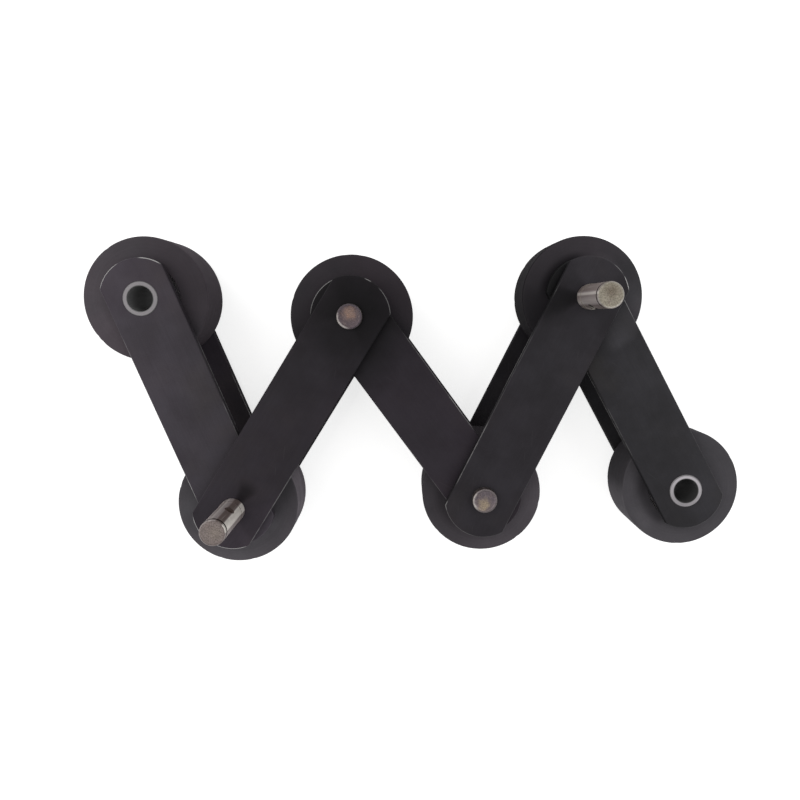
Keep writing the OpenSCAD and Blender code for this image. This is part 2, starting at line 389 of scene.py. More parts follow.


# %% Where a plate is rubbed through, and where a highlight is painted on its foot
def rubbed_and_lit(finish, wear, along, across, edge, foot):
    """How far the steel shows bright, from 0 to 1, in patches: rubbed through on the broken edge, and
    a painted highlight along the foot of the wall. edge and foot are masks of the plate's broken edge
    and of the lowest part of its wall. wear["arcs"] lists the rubbed sectors of the round ends, as
    joint, direction, half width and strength. wear["sides"] lists rubbed stretches of the straight
    edges, as
    +1 (left of the link's direction) or -1, from, to (in mm along the link) and strength, and the
    third list in wear does the same for the painted highlight on the foot."""
    patches = finish.noise(finish.here, 190.0, 4.0, 0.65)
    bright_steel = edge * patches.rise(0.6, 0.76) * 0.05
    for joint, degrees, half_degrees, strength in wear.get("arcs", ()):
        worn = sector(finish, joint, degrees, half_degrees) * patches.rise(0.26, 0.44) * strength
        bright_steel = bright_steel.either(edge * worn)
    for mask, part in ((edge, "sides"), (foot, "lit_feet")):
        for side, start, end, strength in wear.get(part, ()):
            begun = along.rise((start - 5) * MM, (start + 5) * MM)
            worn = begun * along.fall((end - 5) * MM, (end + 5) * MM)
            worn = worn * (across * side).rise(0.0, 16 * MM)
            bright_steel = bright_steel.either(mask * worn * (0.3 + patches.rise(0.34, 0.58) * 0.7) * strength)
    return bright_steel


# %% The finish of one plate
def blackened(node, tone, wear, oil, stains_shade_and_light):
    """Blackened steel strip along a link. tone gives its lightness, how lilac it is, and a painted
    sheen:
    how much lighter the start of the link and its left side are. wear and oil are as above, and so is
    the list of stain, painted shade and painted light."""
    link = int(node[5])  # as in link_3_inner_plate_front
    finish = Finish(node, DULL)
    strip = finish.moved(JOINT[link], LINK_ANGLE[link])
    along, across, _ = finish.parts(strip)
    _, _, z = finish.parts(finish.here)
    _, _, up = finish.parts(finish.facing)
    slope = up.size()
    wall = slope.fall(0.05, 0.2)
    cloud = finish.noise(finish.here, 36.0, 5.0, 0.62)
    drawn = finish.noise(finish.stretched(strip, DRAWN_LINES), 1.0, 3.0, 0.7)
    grain = finish.noise(finish.here, 1500.0, 2.0, 0.6)
    wet = oil_stains_shade_and_light(finish, cloud, oil, stains_shade_and_light)

    # three tones in clouds, changed by lines, grain, oil, stain, a painted sheen and painted wall
    # shade
    lightness, lilac, sheen_lengthwise, sheen_crosswise = tone
    brown = finish.noise(finish.here, 21.0, 3.0, 0.6).rise(0.47, 0.74)
    tinted = finish.noise(finish.here, 9.0, 2.0, 0.5).rise(0.3, 0.6) * 0.5 + 0.5
    black = finish.blend(cloud.rise(0.3, 0.72), BLACK, CLOUD)
    black = finish.blend(brown * 0.4, black, BROWN)
    black = finish.blend(tinted * lilac, black, LILAC)
    painted_sheen_slant = (0.5 - along / PITCH) * sheen_lengthwise + across * (sheen_crosswise / HALF_STRIP) + 1
    shade = (0.76 + drawn * 0.24 + grain * 0.24) * painted_sheen_slant * lightness
    black = finish.dimmed(black, shade * (1 - wet) * (1 - wall * 0.35))

    # a few short scratches, only just lighter than the black
    tilted = finish.moved(JOINT[link], LINK_ANGLE[link] + SCRATCH_TILT)
    scratch = finish.noise(finish.stretched(tilted, SCRATCHES), 1.0, 1.0, 0.4).rise(0.75, 0.79)

    # the broken edge is where the surface slopes
    edge = slope.rise(0.2, 0.35) * slope.fall(0.9, 0.97)
    # the lowest part of the wall, where a highlight is painted along some stretches
    foot = wall * (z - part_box(node)[0].z).fall(0.6 * MM, 2.2 * MM)
    bright_steel = rubbed_and_lit(finish, wear, along, across, edge, foot)
    finish.wear(
        finish.blend(bright_steel + scratch * 0.02, black, BARE_AND_LIT_STEEL),
        (0.36 + cloud * 0.14 - wet * 0.08 + grain * 0.05) - bright_steel * 0.06 + wall * 0.45,
        bright_steel * 0.85,
    )
    finish.relief(drawn * 0.4 + grain * 0.3 + cloud * 0.8 - scratch * 0.6, 0.03 * MM, 0.6)
    return finish


# %% How each plate is rubbed, oiled and stained, and where light and shade are painted on it
PLATE_WEAR = {
    "link_1_inner_plate_front": {
        "arcs": [(1, 75, 14, 1.0), (1, 144, 20, 1.0)],
        "sides": [(1, 72, 96, 0.2), (-1, 18, 34, 0.25), (-1, 100, 120, 0.8)],
        "lit_feet": [(1, 36, 90, 0.3)],
    },
    "link_2_outer_plate_front": {
        "arcs": [(2, 239, 48, 0.85), (3, 23, 19, 0.28), (3, 63, 2, 0.5)],
        "sides": [(-1, -12, 40, 0.3)],
        "lit_feet": [(-1, -12, 60, 0.5)],
    },
    "link_3_inner_plate_front": {
        "arcs": [(3, 144, 31, 0.42)],
        "sides": [(1, 28, 66, 0.25), (1, 70, 94, 0.75), (-1, 106, 128, 0.12), (-1, 80, 98, 0.3)],
    },
    "link_4_outer_plate_front": {
        "arcs": [(4, 190, 5, 0.4), (4, 225, 30, 0.12), (5, 20, 8, 1.0), (5, 44, 6, 0.35)],
        "sides": [(1, 2, 42, 0.35), (1, 42, 100, 0.08), (1, 127, 129, 0.25)],
        "lit_feet": [(1, 60, 98, 0.45)],
    },
    "link_5_inner_plate_front": {
        "sides": [(-1, 64, 98, 0.15), (1, 8, 24, 0.45), (1, 26, 100, 0.08)],
        "lit_feet": [(-1, 34, 92, 0.5)],
    },
    "link_1_inner_plate_rear": {"arcs": [(1, 110, 40, 0.7)], "sides": [(1, 60, 110, 0.5)]},
    "link_2_outer_plate_rear": {"arcs": [(2, 250, 40, 0.8)], "sides": [(1, 20, 90, 0.5)]},
    "link_3_inner_plate_rear": {"arcs": [(3, 120, 40, 0.6)], "sides": [(-1, 20, 80, 0.5)]},
    "link_4_outer_plate_rear": {"arcs": [(5, 80, 40, 0.8)], "sides": [(-1, 40, 120, 0.5)]},
    "link_5_inner_plate_rear": {"arcs": [(6, 300, 50, 0.6)], "sides": [(1, 30, 90, 0.5)]},
}
PLATE_TONE = {  # link: lightness, lilac, and a painted sheen: lighter at its start, lighter on its left
    1: (1.76, 0.3, 0.2, -0.12),
    2: (0.92, 0.4, 0.4, 0.0),
    3: (0.98, 0.4, -0.24, 0.0),
    4: (1.02, 0.15, 0.0, -0.05),
    5: (1.14, 0.0, -0.06, 0.12),
}
REAR_SHADE = {1: 0.85, 2: 1.0, 3: 1.0, 4: 0.7, 5: 0.85}  # link: painted shade of the rear plate, as its lightness against the front plate
OIL = {  # link and joint: strength, below 0 for dust, and reach in mm
    (2, 3): (0.72, 44), (3, 3): (0.78, 58), (4, 5): (0.1, 36), (5, 5): (0.1, 36),
    (5, 6): (-0.1, 44),
}
STAINS_SHADE_AND_LIGHT = {  # link: stain, painted shade, painted light (below 0) and dark painted reflections of the pins; joint, direction, half width, reach and strength of each, front plate only
    1: [(2, -35, 40, 34, -0.9)],
    2: [
        (2, 54, 12, 22, 0.55), (2, -35, 40, 40, -0.3), (2, -95, 30, 34, -0.35),
        (3, 60, 60, 34, 0.12), (3, -122, 50, 36, -0.2),
    ],
    4: [(5, 184, 20, 34, 0.55), (5, 75, 40, 34, -0.3)],
    5: [(5, 165, 45, 32, 0.65), (5, -36, 24, 40, -0.7)],
}
for node, wear in PLATE_WEAR.items():
    link, rear = int(node[5]), node.endswith("rear")
    lightness, *rest = PLATE_TONE[link]
    tone = (lightness * (REAR_SHADE[link] if rear else 1.0), *rest)
    oil = [(k, *OIL[link, k]) for k in (link, link + 1) if (link, k) in OIL]
    stains_shade_and_light = () if rear else STAINS_SHADE_AND_LIGHT.get(link, ())
    paint(frame["nodes"][node], blackened(node, tone, wear, oil, stains_shade_and_light))
print("plates finished:", len(PLATE_WEAR))

# %% [markdown]
# ## Tyres
# Each roller runs on a tyre that was cast round its hub. A cast tyre has softly rounded edges, a
# fine line round the middle of its tread where the two halves of the mould met, and after some use
# it is not quite round and has nicks in its edges. A cylinder with a bevel would look too perfect,
# so the surface is worked out as one grid: a closed profile carried round the roller's axis, with
# small changes of radius on the way.

# %% A surface of revolution from numpy
SHARP_ANGLE = math.radians(35)


def signed_volume(points, triangles):
    """The volume inside a closed surface, from the sum of first . (second x third) / 6 over its
    triangles. It is positive when the faces point outwards."""
    first, second, third = (points[triangles[:, i]] for i in range(3))
    return float((first * np.cross(second, third)).sum() / 6)


def turned_body(name, radius, height, centre, poles):
    """A surface from two grids, radius and height, with a row for each angle and a column for each
    place on the profile. Point (i, j) is centre + (radius cos a_i, radius sin a_i, height), with
    a_i = 2 pi i / rows. With poles, the profile starts and ends near the axis and fans close both
    ends; otherwise it is a loop."""
    rows, columns = radius.shape
    angle = (np.arange(rows) * 2 * math.pi / rows)[:, None]
    grid = np.stack([radius * np.cos(angle), radius * np.sin(angle), height], axis=2)
    points = (grid + np.array(centre)).reshape(-1, 3)
    steps = columns - 1 if poles else columns
    i, j = np.meshgrid(np.arange(rows), np.arange(steps), indexing="ij")
    near, far, after = i * columns, (i + 1) % rows * columns, (j + 1) % columns
    quads = np.stack([near + j, far + j, far + after, near + after], axis=2).reshape(-1, 4)
    fans = np.empty((0, 3), dtype=int)
    if poles:
        on_axis = [[0, 0, height[0, 0]], [0, 0, height[0, -1]]]
        points = np.vstack([points, np.array(centre) + on_axis])
        first = np.arange(rows) * columns
        second = np.roll(first, -1)
        pole = np.full(rows, rows * columns)
        fans = np.vstack([
            np.stack([second, first, pole], axis=1),
            np.stack([first + columns - 1, second + columns - 1, pole + 1], axis=1),
        ])
    volume = signed_volume(points, np.vstack([quads[:, :3], quads[:, [0, 2, 3]], fans]))
    turn = -1 if volume < 0 else 1
    mesh = bpy.data.meshes.new(name)
    faces = quads[:, ::turn].tolist() + fans[:, ::turn].tolist()
    mesh.from_pydata(points.tolist(), [], faces)
    mesh.shade_smooth()
    mesh.set_sharp_from_angle(angle=SHARP_ANGLE)
    piece = bpy.data.objects.new(name, mesh)
    scene.collection.objects.link(piece)
    print(name, "faces:", len(faces), "volume, cm3:", round(abs(volume) * 1e6, 2))
    return piece


# %% The profile of a tyre
TYRE_R = (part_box("roller_1_tyre")[1].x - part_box("roller_1_tyre")[0].x) / 2
TYRE_HALF_W = (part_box("roller_1_tyre")[1].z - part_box("roller_1_tyre")[0].z) / 2
HUB_R = (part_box("roller_1_hub")[1].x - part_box("roller_1_hub")[0].x) / 2
EDGE_R = 1.2 * MM
MOULD_LINE = 0.07 * MM


def quarter(centre_r, centre_z, radius, start):
    """Nine points on a quarter of a circle that starts at an angle in degrees."""
    angle = np.radians(start + np.linspace(0, 90, 9))
    return np.stack([centre_r + radius * np.cos(angle), centre_z + radius * np.sin(angle)], axis=1)


def tyre_profile():
    """Points (radius, height) round a tyre's section: out along the rear face, up the tread, back
    along the front face and down the bore. The middle of the tread has more points, for the mould
    line."""
    tread_r, half = TYRE_R - MOULD_LINE, TYRE_HALF_W
    lower = np.linspace(EDGE_R - half, -1.2 * MM, 12)[1:]
    tread_z = np.concatenate([lower, np.linspace(-1, 1, 15) * MM, -lower[::-1]])
    face_r = np.linspace(HUB_R, tread_r - EDGE_R, 10)
    rear = np.stack([face_r, np.full(10, -half)], axis=1)
    return np.concatenate([
        rear[:-1],
        quarter(tread_r - EDGE_R, EDGE_R - half, EDGE_R, 270),
        np.stack([np.full(tread_z.size, tread_r), tread_z], axis=1),
        quarter(tread_r - EDGE_R, half - EDGE_R, EDGE_R, 0),
        rear[::-1][1:] * [1, -1],
    ])


print("points on a tyre's profile:", len(tyre_profile()))

# %% Six used tyres
TYRE_ROWS = 256
TYRE_SEED = 40
WAVES = ((0.035, 2), (0.02, 5), (0.012, 11))  # size in mm, and how many go round
WAVES_AT_MOST = 0.067  # mm, taken off all round, so that no wave stands out of the tyre's box
LINE_HALF_W = 0.22 * MM  # of the mould line's bell curve
NICKS, NICK_DEPTH = 9, (0.05, 0.25)  # how many, and the least and most depth in mm
NICK_LENGTH, NICK_HEIGHT = 1.3 * MM, 1.1 * MM
CALM = 3 * MM  # next to the hub the faces stay true


def tyre(number):
    """The profile of a tyre carried round, with three changes of radius: low waves of a few
    hundredths of a millimetre, a ridge (a bell curve of the height) for the mould line, and nicks
    (bell curves of angle and height) near the two edges of the tread."""
    chance = np.random.default_rng(TYRE_SEED + number)
    profile = tyre_profile()
    angle = (np.arange(TYRE_ROWS) * 2 * math.pi / TYRE_ROWS)[:, None]
    radius = np.repeat(profile[None, :, 0], TYRE_ROWS, axis=0)
    height = np.repeat(profile[None, :, 1], TYRE_ROWS, axis=0)
    outside = np.clip((radius - HUB_R - CALM) / CALM, 0, 1)
    waves = sum(
        size * np.cos(count * angle + phase)
        for (size, count), phase in zip(WAVES, chance.uniform(0, 6, len(WAVES)))
    )
    on_tread = radius > TYRE_R - 2 * MOULD_LINE
    ridge = MOULD_LINE * np.exp(-((height / LINE_HALF_W) ** 2)) * on_tread
    places, depths = chance.uniform(0, 2 * math.pi, NICKS), chance.uniform(*NICK_DEPTH, NICKS)
    dents = np.zeros_like(radius)
    for place, side, depth in zip(places, [1, -1] * NICKS, depths):
        turn = (angle - place + math.pi) % (2 * math.pi) - math.pi
        along = (turn * TYRE_R / NICK_LENGTH) ** 2
        up = ((height - side * (TYRE_HALF_W - EDGE_R * 0.6)) / NICK_HEIGHT) ** 2
        dents = dents + depth * MM * np.exp(-along - up)
    radius = radius + outside * ((waves - WAVES_AT_MOST) * MM + ridge - dents)
    return turned_body(f"tyre_{number}", radius, height, JOINT[number], poles=False)


tyres = {k: tyre(k) for k in JOINT}
for k, piece in tyres.items():
    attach(piece, f"roller_{k}")
    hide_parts(f"roller_{k}_tyre")

# %% [markdown]
# ## The rollers' finish
# Tyre and hub are both nearly black mouldings, and in the photograph no line shows between them.
# Faces are dull with a faint pattern of rings from the mould, the tread is scuffed in fine lines
# round the roller, and some rollers carry more pale dust than others. The same pale share also paints
# light
# and shade: a sheen on one side of each roller, patches of shade and light on the faces beside the
# plates, a tread darker on four rollers and lighter on two, and light in the hub's opening. Noise
# along the distance from the axis makes the rings, and noise drawn out round the roller makes the
# scuffs.

# %% Dust, and painted light and shade, on the rollers
RUBBER = colour(22, 20, 23)
PALE_DUST_AND_LIGHT = colour(108, 107, 111)
LILAC_DUST_AND_LIGHT = colour(116, 105, 113)
DUST_AND_LIGHT_SHARE = {  # joint: mean share of dust and painted light, direction of a painted sheen, how much lighter, lilac, share on the tread (painted darker below 1, lighter above)
    1: (0.28, 190, 0.4, 0.8, 1.6),
    2: (0.35, 255, 0.4, 0.5, 0.8),
    3: (0.09, 100, 0.5, 1.0, 0.8),
    4: (0.3, 330, 0.35, 0.5, 0.8),
    5: (0.135, 40, 0.45, 0.6, 0.1),
    6: (0.34, 290, 0.1, 0.2, 1.3),
}
FACE_SHADE_AND_LIGHT = {  # joint: painted shade (below 0) and painted light (above 0) on the faces, as direction, half width, outer radius in mm and how much
    2: [(290, 45, 29, 0.5)],
    4: [(200, 30, 31, -0.35)],
    5: [(135, 38, 29, -0.95), (192, 14, 40, -0.45), (40, 30, 31, 0.22), (-25, 35, 40, 0.24)],
    6: [(165, 22, 31, -0.35), (192, 48, 29, -0.55), (190, 42, 37, 0.12)],
}
TREAD_SMUDGES = {2: [(10, 25, 1.3)], 6: [(155, 22, -0.4), (212, 24, 0.4)]}  # without a radius
SCUFFED = {2: 0.3}  # joint: how far the scuffs on the tread are rubbed pale
LEAST_SCUFFED = 0.05
TREAD_SCUFFS = (70.0, 70.0, 1300.0)  # a noise drawn out round the roller
MOUTH_R = 22 * MM  # radius of the hub's opening, which is painted lighter
print("rollers with smudges:", sorted(FACE_SHADE_AND_LIGHT))


def painted_shade_and_smudges_of(finish, joint, radius, face):
    """A mask and an amount for each patch of a roller: first the painted shade and light on its
    faces, then the lighter and darker patches on its tread. face is the mask of the faces."""
    for degrees, half_degrees, reach, more in FACE_SHADE_AND_LIGHT.get(joint, ()):
        within = radius.fall((reach - 6) * MM, reach * MM)
        yield sector(finish, joint, degrees, half_degrees, 14.0) * within * face, more
    for degrees, half_degrees, more in TREAD_SMUDGES.get(joint, ()):
        yield sector(finish, joint, degrees, half_degrees, 14.0) * (1 - face), more


# %% One finish for a roller's tyre and hub
def roller_black(joint):
    """Dull black moulding about a joint, with pale dust. The share of dust follows rings on the faces
    and scuffs on the tread, and the same share paints light and shade: a sheen lighter towards one
    side, patches of shade and light on the faces, a tread darker on four rollers and lighter on two,
    and light in the hub's opening."""
    finish = Finish(f"roller_{joint}_black", DULL)
    dust_and_light, degrees, painted_sheen_round, lilac, on_tread = DUST_AND_LIGHT_SHARE[joint]
    _, _, up = finish.parts(finish.facing)
    face = up.size().rise(0.5, 0.9)
    tread = 1 - face
    toward, across, _ = finish.parts(finish.moved(JOINT[joint], math.radians(degrees)))
    radius = (toward * toward + across * across) ** 0.5
    rings = finish.bands(radius, 900.0)
    scuffs = finish.noise(finish.stretched(finish.here, TREAD_SCUFFS), 1.0, 3.0, 0.65)
    cloud = finish.noise(finish.here, 42.0, 4.0, 0.6)
    grain = finish.noise(finish.here, 1300.0, 2.0, 0.6)
    lines = face * rings + tread * scuffs
    share = 0.42 + cloud * 0.8 + lines * 0.16 + grain * 0.2
    # a painted sheen, lighter towards one side of the roller
    share = share * (1 + toward / radius * painted_sheen_round) * dust_and_light
    # painted shade and light in patches on the faces, and patches on the tread
    for near, more in painted_shade_and_smudges_of(finish, joint, radius, face):
        share = share * (1 + near * more) if more < 0 else share + near * cloud * more
    # painted light in the hub's opening, and the tread's share, which paints it darker below 1 and
    # lighter above
    painted_mouth_light = tread * radius.fall(MOUTH_R, MOUTH_R + 2 * MM)
    share = share * (on_tread + face * (1 - on_tread)) + painted_mouth_light * 0.45
    rubbed = tread * scuffs.rise(0.5, 0.7) * SCUFFED.get(joint, LEAST_SCUFFED)
    tinted = finish.noise(finish.here, 11.0, 2.0, 0.5).rise(0.35, 0.6) * face + tread
    pale = finish.blend(tinted * lilac, PALE_DUST_AND_LIGHT, LILAC_DUST_AND_LIGHT)
    dull = 0.62 + cloud * 0.14 + lines * 0.08 + tread * 0.2
    finish.wear(finish.blend(share + rubbed, RUBBER, pale), dull)
    finish.relief(lines * 0.3 + grain * 0.5 + cloud * 0.5, 0.04 * MM, 0.6)
    return finish


for k, piece in tyres.items():
    rubber = roller_black(k)
    for part in (piece, frame["nodes"][f"roller_{k}_tyre"], frame["nodes"][f"roller_{k}_hub"]):
        paint(part, rubber)
print("rollers finished:", len(tyres))

# %% [markdown]
# ## Riveted pins
# The two plain pins are riveted: hammering spreads a low rim round each end and leaves a shallow
# dish inside it. The rim is never even, which is what tells a rivet from a turned pin. The pin is
# again a profile carried round an axis, this time from pole to pole, with waves on the height and
# radius of the rim.

# %% The two riveted pins
PIN_R = (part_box("link_pin_3")[1].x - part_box("link_pin_3")[0].x) / 2
PIN_HALF = (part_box("link_pin_3")[1].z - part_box("link_pin_3")[0].z) / 2
PIN_ROWS = 128
PIN_SEED = 70
DISH = 0.55 * MM
RIM_DROP = 0.55 * MM  # how far the outside of the rim falls before it meets the shank
RIM_WAVES = ((0.5, 2), (0.3, 3), (0.25, 5), (0.15, 9))  # size, and how many go round
RIM_WAVES_AT_MOST = 1.2  # the sum of their sizes, so that the rim only sinks
RIM_SWAY, RIM_SINK = 0.16, 0.1  # mm in or out, and mm down, for a wave of size 1


def riveted_end():
    """Radius and height of a riveted end's profile, height 0 at the top of the rim: a shallow bowl
    whose floor lifts with the fourth power of radius, a quarter wave up to the rim, a round top,
    and the shank. The third array is 1 on top of the rim and falls off as a bell curve."""
    rim_in, rim_top, rim_out = PIN_R - 1.9 * MM, PIN_R - 0.95 * MM, PIN_R - 0.1 * MM
    bowl_r = np.linspace(0.2 * MM, rim_in, 14)
    bowl_z = -DISH * (1 - 0.18 * (bowl_r / rim_in) ** 4)
    turn = np.linspace(0, 1, 12)[1:]
    slope_z = bowl_z[-1] * (1 - np.sin(turn * math.pi / 2) ** 1.5)
    round_r = rim_top + (rim_out - rim_top) * np.sin(turn * math.pi / 2)
    round_z = -RIM_DROP * (1 - np.cos(turn * math.pi / 2))
    slope_r, shank_z = rim_in + (rim_top - rim_in) * turn, [-0.9 * MM, -1.2 * MM, -2.0 * MM]
    radius = np.concatenate([bowl_r, slope_r, round_r, [PIN_R] * 3])
    height = np.concatenate([bowl_z, slope_z, round_z, shank_z])
    near_rim = np.exp(-(((radius - rim_top) / (0.7 * MM)) ** 2)) * (radius < rim_out)
    return radius, height, near_rim


def riveted_pin(number):
    """Two riveted ends joined by the shank, from pole to pole. A sum of cosines of the angle lowers
    the rim and moves it in and out."""
    chance = np.random.default_rng(PIN_SEED + number)
    angle = (np.arange(PIN_ROWS) * 2 * math.pi / PIN_ROWS)[:, None]
    end_r, end_z, near_rim = riveted_end()
    radius, height = [], []
    for side in (1, -1):
        sway = sum(
            size * np.cos(count * angle + phase)
            for (size, count), phase in zip(RIM_WAVES, chance.uniform(0, 6, len(RIM_WAVES)))
        )
        sink = near_rim * (RIM_WAVES_AT_MOST + sway) * RIM_SINK * MM
        radius.append((end_r + near_rim * sway * RIM_SWAY * MM)[:, ::side])
        height.append(side * (PIN_HALF + end_z - sink)[:, ::side])
    radius, height = np.concatenate(radius, axis=1), np.concatenate(height, axis=1)
    return turned_body(f"riveted_pin_{number}", radius, height, JOINT[number], poles=True)


riveted = {k: riveted_pin(k) for k in (3, 4)}
for k, piece in riveted.items():
    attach(piece, f"link_{2 if k == 3 else 4}")
    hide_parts(f"link_pin_{k}")

# %% [markdown]
# ## Steel of the pins
# The pins are ground steel. Their sides carry fine lines round them, long streaks of thin brown oil
# and unoiled stretches that look nearly white, and the step pins carry broad painted highlights down
# their sides; the cut or riveted ends are duller and stained in the middle, with a painted highlight
# on part of the rim. Grooves and holes hold dark grease. Distance from the axis tells rim, middle and
# groove apart, and a sector about the joint says where the oil has run and where a highlight is
# painted.

# %% The end and the side of a pin
SIDE_STEEL = colour(166, 156, 155)
# the nearly white colour of unoiled streaks and of painted highlights on sides and rims
DRY_AND_LIT_STEEL = colour(240, 234, 226)
PIN_OIL = colour(110, 97, 93)
LATHE_LINES = (30.0, 30.0, 4200.0)  # a noise drawn out round the pin
OIL_STREAKS = (420.0, 420.0, 14.0)  # a noise drawn out along the pin


def pin_end(finish, joint, ends, cloud):
    """The colour of an end: a stain in the middle, a cleaner part round it, and the rim. ends gives
    these three colours, how far the stain is off centre, in mm, and the direction and strength of a
    painted highlight on one stretch of the rim."""
    middle, round_it, rim, (x_off, y_off), (glint_degrees, glint_strength) = ends
    x, y, _ = finish.parts(finish.moved(JOINT[joint] + Vector((x_off * MM, y_off * MM, 0.0))))
    from_stain = (x * x + y * y) ** 0.5 + (cloud - 0.5) * (7 * MM)
    face = finish.blend(from_stain.fall(0.5 * MM, 5.5 * MM), round_it, middle)
    face = finish.blend(cloud.rise(0.5, 0.66) * 0.4, face, PIN_OIL)
    ragged = from_axis(finish, joint) + (cloud - 0.5) * (1.2 * MM)
    on_rim = ragged.rise(PIN_R - 1.5 * MM, PIN_R - 0.8 * MM)
    face = finish.blend(on_rim, face, rim)
    # a painted highlight on one stretch of the rim, in the colour of unoiled steel
    bright_steel = sector(finish, joint, glint_degrees, 38.0, 25.0) * on_rim
    return finish.blend(bright_steel * (cloud + 0.4) * glint_strength, face, DRY_AND_LIT_STEEL)


def pin_side(finish, joint, oiled, highlights, streaks):
    """The colour of the side: steel with streaks of oil and of nearly white steel. Oil is thicker in
    the sectors of the first list, and painted highlights lie in those of the second, each given as
    direction, half width and strength."""
    oil, pale = streaks.rise(0.48, 0.7) * 0.55, streaks.fall(0.34, 0.44) * 0.3
    for degrees, half_degrees, strength in oiled:
        here = sector(finish, joint, degrees, half_degrees, 6.0) * strength
        oil = oil.either(here * (0.75 + streaks * 0.5))
    # painted highlights in the sectors of the second list
    for degrees, half_degrees, strength in highlights:
        here = sector(finish, joint, degrees, half_degrees, 3.0) * strength
        pale = pale.either(here * (0.6 + streaks * 0.8))
    return finish.blend(pale, finish.blend(oil, SIDE_STEEL, PIN_OIL), DRY_AND_LIT_STEEL)


# %% Grease on a pin
GREASE_AND_SHADE = colour(34, 29, 27)
STEP_PIN_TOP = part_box("step_pin_2")[1].z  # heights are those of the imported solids
PLATE_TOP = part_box("link_2_outer_plate_front")[1].z
JOURNAL_R = 7.1 * MM
HOLE_R, HOLE_Z = 2.75 * MM, PLATE_TOP + 17.3 * MM
GROOVE_Z = STEP_PIN_TOP - 2.35 * MM
print("a step pin stands out of the plate by, mm:", round((STEP_PIN_TOP - PLATE_TOP) / MM, 2))


def step_pin_grease(finish, joint, hole_degrees, z, end, grease_and_shade):
    """Adds to the mask greasy the grease on a step pin's shoulder, in its ring groove, on its top
    collar and in the hole across it, whose direction is given. The second mask is the hole."""
    side, radius, from_groove = 1 - end, from_axis(finish, joint), z - GROOVE_Z
    within = radius.fall(JOURNAL_R - 0.5 * MM, JOURNAL_R - 0.25 * MM)
    foot = end * from_groove.fall(-4 * MM, -3 * MM) * within * 0.9
    groove = from_groove.size().fall(0.55 * MM, 0.75 * MM)
    inner = radius.fall(JOURNAL_R - 0.2 * MM, JOURNAL_R - 0.05 * MM)
    inner = inner * from_groove.fall(0.6 * MM, 0.8 * MM)
    _, across, _ = finish.parts(finish.moved(JOINT[joint], math.radians(hole_degrees)))
    from_hole = (across * across + (z - HOLE_Z) * (z - HOLE_Z)) ** 0.5
    in_hole = from_hole.fall(HOLE_R, HOLE_R + 0.25 * MM)
    collar = from_groove.rise(0.5 * MM, 0.7 * MM) * side * 0.35
    grease_and_shade = grease_and_shade.either(foot).either(groove * 0.95).either(collar)
    return grease_and_shade.either(inner.either(in_hole) * side * 0.95), in_hole


# %% The finish of a pin
def pin_steel(name, joint, ends, oiled, highlights=(), hole=None):
    """Ground steel of a pin, with ends, oil sectors and painted highlights as above. hole is the
    direction of the hole across a step pin and the colour of the grease in it; a riveted pin has
    none."""
    finish = Finish(name, {"Specular IOR Level": 0.3})
    _, _, z = finish.parts(finish.here)
    _, _, up = finish.parts(finish.facing)
    end = up.size().rise(0.6, 0.85)
    side = 1 - end
    cuts = finish.noise(finish.stretched(finish.here, LATHE_LINES), 1.0, 2.0, 0.5)
    about_axis = finish.moved(JOINT[joint])
    streaks = finish.noise(finish.stretched(about_axis, OIL_STREAKS), 1.0, 3.0, 0.6)
    cloud = finish.noise(finish.here, 330.0, 4.0, 0.65)
    grain = finish.noise(finish.here, 1700.0, 2.0, 0.6)
    face = pin_end(finish, joint, ends, cloud)
    metal = finish.blend(end, pin_side(finish, joint, oiled, highlights, streaks), face)
    speckle = (grain - 0.5) * end * 1.6
    metal = finish.dimmed(metal, 0.84 + speckle + grain * 0.16 + cuts * side * 0.16)

    # grease where the pin enters the plate, which also paints a contact shade there, and grease in
    # the hollows of a step pin
    grease_and_shade = side * (z - PLATE_TOP).fall(0.1 * MM, 0.9 * MM) * 0.8
    grease = GREASE_AND_SHADE
    if hole is None:
        grease_and_shade = grease_and_shade.either(side * (0.8 + streaks * 0.2))
    else:
        grease_and_shade, in_hole = step_pin_grease(finish, joint, hole[0], z, end, grease_and_shade)
        grease = finish.blend(in_hole, GREASE_AND_SHADE, hole[1])
    metal = finish.blend(grease_and_shade, metal, grease)
    finish.wear(metal, 0.34 + cloud * 0.14 + end * 0.06, (0.4 + end * 0.5) * (1 - grease_and_shade))
    finish.relief(cuts * side + end * (grain * 0.5 + cloud), 0.02 * MM, 0.7)
    return finish


# %% Paint the pins
PIN_ENDS = {  # joint: middle, part round it, rim, stain off centre, painted highlight on the rim
    2: (colour(119, 110, 104), colour(114, 105, 102), colour(104, 95, 93), (1.5, 0.0), (150, 0.1)),
    3: (colour(118, 97, 87), colour(80, 71, 74), colour(72, 65, 70), (0.0, 1.9), (215, 0.3)),
    4: (colour(142, 128, 111), colour(96, 88, 92), colour(100, 93, 94), (-0.8, -2.4), (185, 0.3)),
    5: (colour(101, 93, 82), colour(126, 120, 108), colour(128, 124, 114), (0.3, 1.8), (290, 0.3)),
}
RIVETED_OIL = {3: [(210, 30, 0.6)], 4: [(60, 30, 0.6)]}
STEP_PIN_OIL = {
    2: [(58, 16, 1.0), (-50, 12, 0.7)],
    5: [(181, 2, 0.4), (250, 26, 0.7), (126, 34, 0.75)],
}
